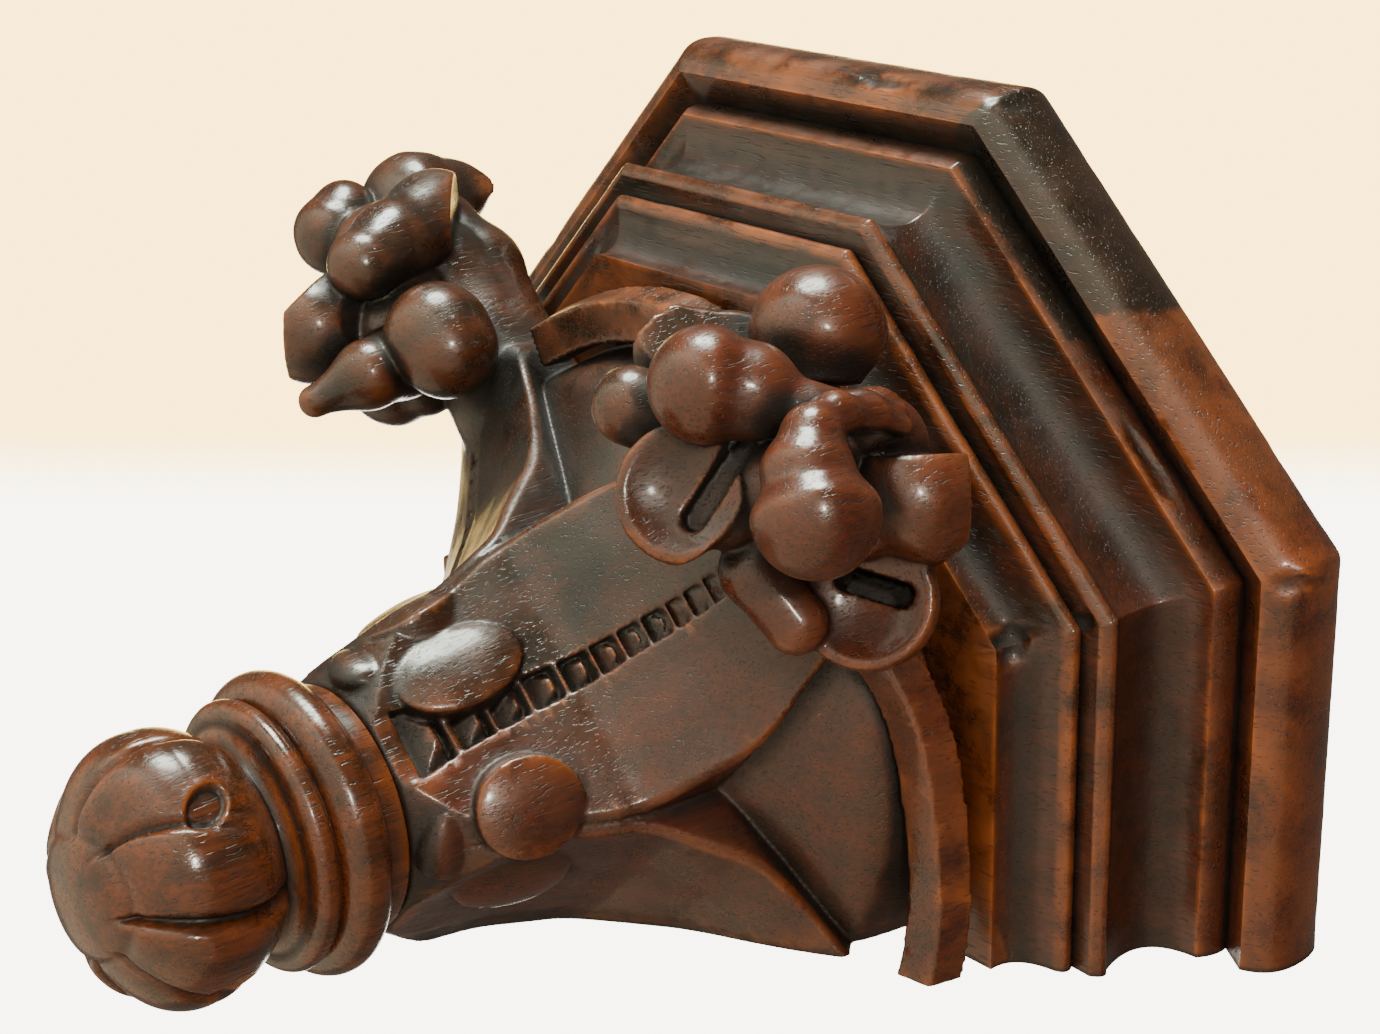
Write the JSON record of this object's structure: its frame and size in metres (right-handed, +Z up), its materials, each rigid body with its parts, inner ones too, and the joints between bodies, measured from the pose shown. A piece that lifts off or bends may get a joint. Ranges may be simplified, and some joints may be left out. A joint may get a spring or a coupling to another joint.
{
  "type": "carved wall shelf",
  "caption": "Half-octagon wall shelf with stepped mouldings, on a carved bell-shaped bracket with leaf crockets and a turned pendant bud.",
  "frame": {"origin": "on the flat back face against the wall, midway across, level with the arris under the board's round nose", "axes": "+X across the wall, -Y out into the room (the shelf's front), +Y into the wall, +Z up"},
  "size_m": [0.3076, 0.1984, 0.2533],
  "materials": {
    "shelf_oak": "dark stained and waxed oak",
    "bracket_oak": "dark stained and waxed oak",
    "pendant_oak": "dark stained and waxed oak"
  },
  "bodies": {
    "root": {"moulded_shelf": "shelf_oak", "carved_bracket": "bracket_oak", "turned_pendant": "pendant_oak"}
  },
  "joints": []
}
